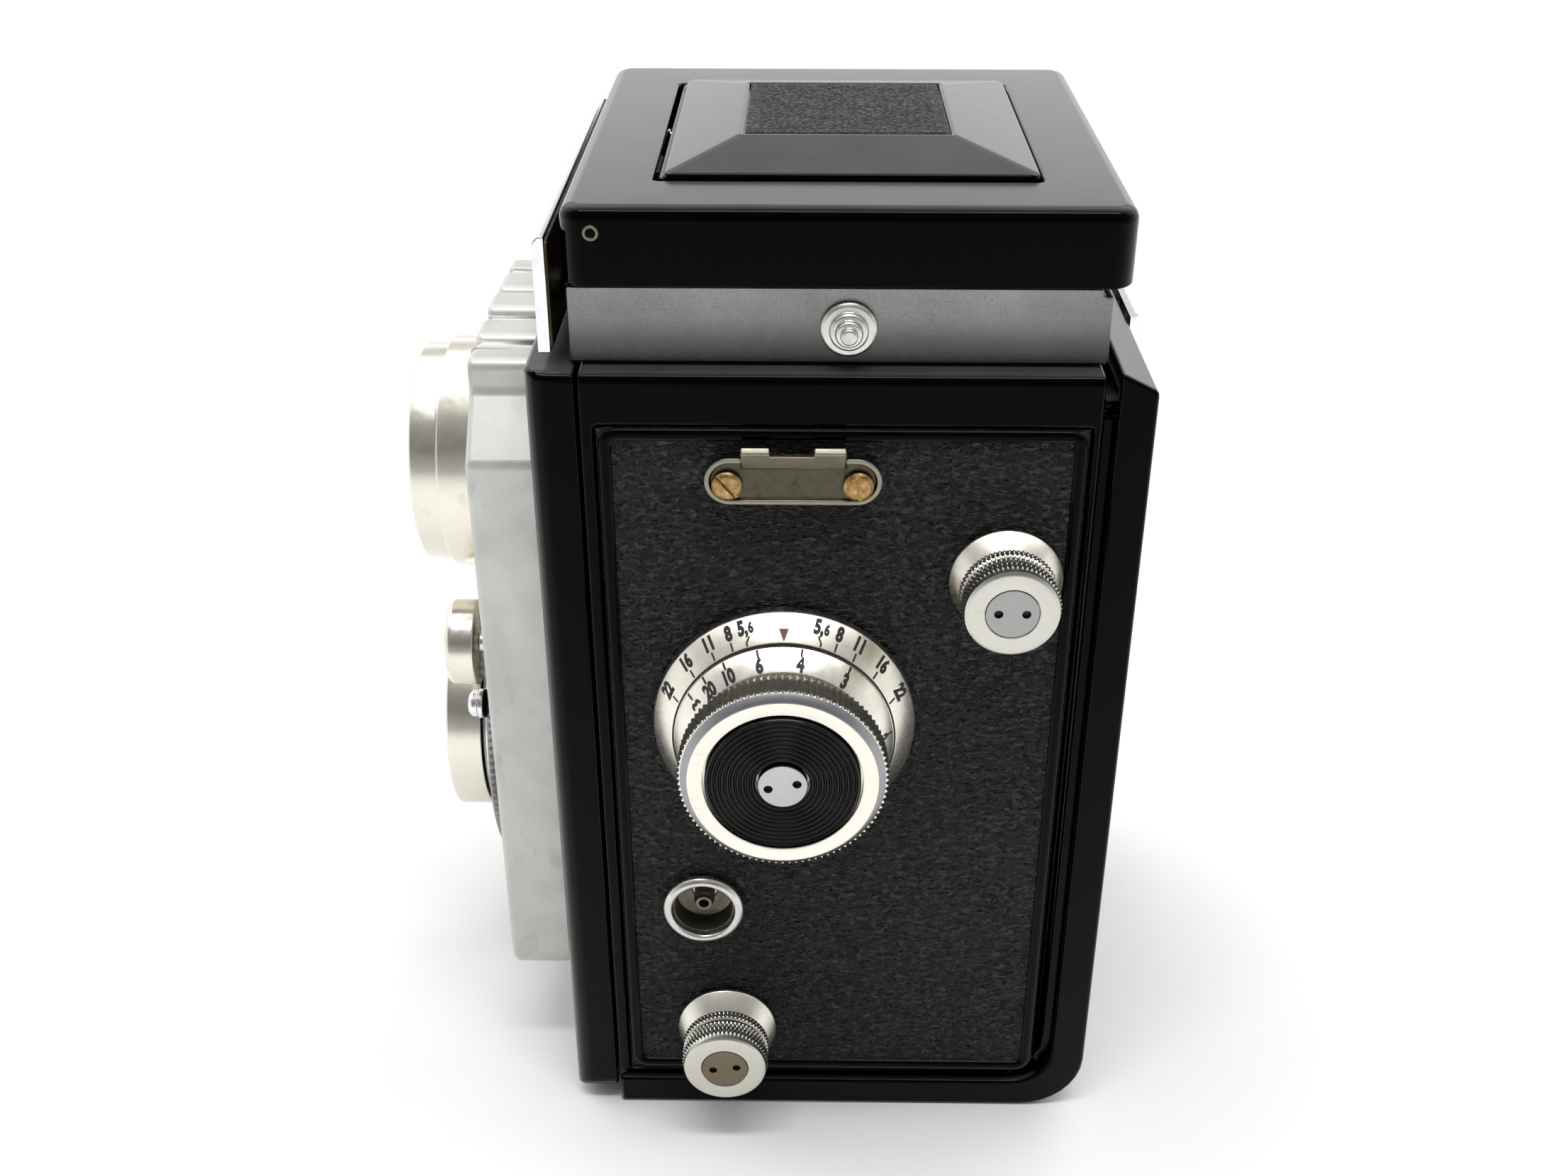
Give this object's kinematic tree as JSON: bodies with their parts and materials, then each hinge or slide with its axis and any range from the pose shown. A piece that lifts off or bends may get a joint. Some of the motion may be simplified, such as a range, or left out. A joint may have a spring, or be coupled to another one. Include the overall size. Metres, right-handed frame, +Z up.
{
  "type": "twin lens reflex camera",
  "caption": "Roll film camera with viewing and taking lenses on a sliding board, waist level hood, focusing knob and hinged back.",
  "frame": {"origin": "underside of the back cover, midway across the body, 0.4 mm forward of the middle of the side covering", "axes": "+Z up; the lenses look along -Y; the focusing knob is on the +X side"},
  "size_m": [0.1053, 0.1012, 0.145],
  "materials": {
    "black_enamel": "gloss black baked enamel",
    "black_leatherette": "black grained covering",
    "grey_paint": "satin silver grey paint",
    "satin_aluminium": "satin",
    "turned_aluminium": "turned, with a clear finish",
    "chrome": "bright plate",
    "steel": "nickelled",
    "brass": "bare and tarnished",
    "black_plastic": "moulded",
    "matt_black": "matt black paint",
    "clear_glass": "coated optical glass",
    "frosted_glass": "finely ground",
    "silvered": "front silvered"
  },
  "bodies": {
    "camera_body": {"body_shell": "black_enamel", "leatherette_left": "black_leatherette", "leatherette_right": "black_leatherette", "front_casting": "black_enamel", "back_hinge_pin": "steel", "light_chamber": "matt_black", "mirror": "silvered", "ground_glass": "frosted_glass", "upper_knob_flange": "turned_aluminium", "lower_knob_flange": "turned_aluminium", "wind_knob_flange": "turned_aluminium", "depth_scale_ring": "turned_aluminium", "sync_socket": "steel", "sync_socket_pin": "steel", "strap_lug_left": "steel", "strap_lug_right": "steel", "lug_screw_left_front": "brass", "lug_screw_left_rear": "brass", "lug_screw_right_front": "brass", "lug_screw_right_rear": "brass", "hood_base": "satin_aluminium", "hood_side_stud": "steel", "hood_front_plate": "chrome", "lid_hinge_pin": "steel"},
    "focus_drive": {"focus_knob": "turned_aluminium", "distance_ring": "turned_aluminium", "focus_knob_insert": "black_plastic", "focus_knob_cap": "turned_aluminium", "focus_shaft": "steel"},
    "lens_board": {"front_panel": "grey_paint", "viewing_lens_barrel": "turned_aluminium", "viewing_lens_glass": "clear_glass", "shutter_housing": "satin_aluminium", "taking_lens_ring": "turned_aluminium", "taking_lens_glass": "clear_glass", "focus_push_rod": "steel"},
    "speed_dial": {"speed_ring": "satin_aluminium"},
    "cocking_arm": {"cocking_lever": "chrome"},
    "release": {"release_button": "turned_aluminium"},
    "takeup": {"takeup_spool": "matt_black"},
    "supply": {"supply_spool": "matt_black"},
    "upper_roller": {"film_roller_upper": "steel"},
    "lower_roller": {"film_roller_lower": "steel"},
    "upper_sleeve": {"upper_knob_sleeve": "steel"},
    "upper_knob": {"upper_spool_knob": "turned_aluminium"},
    "lower_sleeve": {"lower_knob_sleeve": "steel"},
    "lower_knob": {"lower_spool_knob": "turned_aluminium"},
    "wind": {"wind_knob": "turned_aluminium"},
    "back": {"back_cover": "black_enamel", "back_leatherette": "black_leatherette", "pressure_plate": "matt_black", "tripod_bush": "steel"},
    "latch": {"back_latch": "chrome"},
    "lid": {"hood_lid": "black_enamel", "magnifier_frame": "satin_aluminium", "magnifier_lens": "clear_glass"},
    "flap": {"finder_flap": "black_enamel", "flap_inlay": "black_leatherette"},
    "shade_left": {"hood_panel_left": "matt_black"},
    "shade_right": {"hood_panel_right": "matt_black"}
  },
  "joints": [
    {"name": "focus_turn", "type": "hinge", "parent": "camera_body", "child": "focus_drive", "pos_m": [0.03905, -0.00685, 0.0719], "axis": [1, 0, 0], "range_deg": [-66, 248]},
    {"name": "board_slide", "type": "slide", "parent": "camera_body", "child": "lens_board", "axis": [0, -1, 0], "range_m": [-0.00123, 0.00485]},
    {"name": "speed_turn", "type": "hinge", "parent": "lens_board", "child": "speed_dial", "pos_m": [0, -0.04945, 0.04845], "axis": [0, 1, 0], "range_deg": [-60, 90]},
    {"name": "cocking_swing", "type": "hinge", "parent": "lens_board", "child": "cocking_arm", "pos_m": [0, -0.04945, 0.04845], "axis": [0, 1, 0], "range_deg": [0, 50], "stiffness_Nm_per_rad": 0.01},
    {"name": "release_press", "type": "slide", "parent": "lens_board", "child": "release", "axis": [0, 1, 0], "range_m": [0, 0.0016], "stiffness_N_per_m": 400},
    {"name": "upper_pull", "type": "slide", "parent": "camera_body", "child": "upper_sleeve", "axis": [1, 0, 0], "range_m": [0, 0.008], "stiffness_N_per_m": 150},
    {"name": "upper_turn", "type": "hinge", "parent": "upper_sleeve", "child": "upper_knob", "pos_m": [0.03905, 0.02185, 0.0938], "axis": [1, 0, 0], "continuous": true},
    {"name": "lower_pull", "type": "slide", "parent": "camera_body", "child": "lower_sleeve", "axis": [1, 0, 0], "range_m": [0, 0.008], "stiffness_N_per_m": 150},
    {"name": "lower_turn", "type": "hinge", "parent": "lower_sleeve", "child": "lower_knob", "pos_m": [0.03905, -0.01545, 0.016], "axis": [1, 0, 0], "continuous": true},
    {"name": "wind_turn", "type": "hinge", "parent": "camera_body", "child": "wind", "pos_m": [-0.03905, 0.02185, 0.0938], "axis": [-1, 0, 0], "continuous": true},
    {"name": "takeup_turn", "type": "hinge", "parent": "camera_body", "child": "takeup", "pos_m": [0, 0.02185, 0.0938], "axis": [-1, 0, 0], "continuous": true},
    {"name": "supply_turn", "type": "hinge", "parent": "camera_body", "child": "supply", "pos_m": [0, -0.01545, 0.016], "axis": [1, 0, 0], "continuous": true},
    {"name": "upper_roller_turn", "type": "hinge", "parent": "camera_body", "child": "upper_roller", "pos_m": [0, 0.0295, 0.0815], "axis": [1, 0, 0], "continuous": true},
    {"name": "lower_roller_turn", "type": "hinge", "parent": "camera_body", "child": "lower_roller", "pos_m": [0, 0.0295, 0.0145], "axis": [1, 0, 0], "continuous": true},
    {"name": "back_swing", "type": "hinge", "parent": "camera_body", "child": "back", "pos_m": [0, -0.0343, 0.0032], "axis": [-1, 0, 0], "range_deg": [0, 90]},
    {"name": "latch_slide", "type": "slide", "parent": "back", "child": "latch", "axis": [0, 0, 1], "range_m": [0, 0.0025]},
    {"name": "lid_swing", "type": "hinge", "parent": "camera_body", "child": "lid", "pos_m": [0, 0.0337, 0.1342], "axis": [-1, 0, 0], "range_deg": [0, 95]},
    {"name": "flap_swing", "type": "hinge", "parent": "lid", "child": "flap", "pos_m": [0, -0.022, 0.1416], "axis": [1, 0, 0], "range_deg": [0, 95]},
    {"name": "left_shade_fold", "type": "hinge", "parent": "camera_body", "child": "shade_left", "pos_m": [0.0325, 0, 0.1256], "axis": [0, 1, 0], "range_deg": [0, 90.1]},
    {"name": "right_shade_fold", "type": "hinge", "parent": "camera_body", "child": "shade_right", "pos_m": [-0.0325, 0, 0.1274], "axis": [0, -1, 0], "range_deg": [0, 90.1]}
  ],
  "couplings": [
    {"joint": "focus_turn", "follows": "board_slide", "rad_per_m": 848.9},
    {"joint": "takeup_turn", "follows": "wind_turn", "ratio": 1},
    {"joint": "upper_turn", "follows": "wind_turn", "ratio": -1},
    {"joint": "lower_turn", "follows": "supply_turn", "ratio": 1},
    {"joint": "left_shade_fold", "follows": "lid_swing", "ratio": 0.947},
    {"joint": "right_shade_fold", "follows": "lid_swing", "ratio": 0.947}
  ]
}
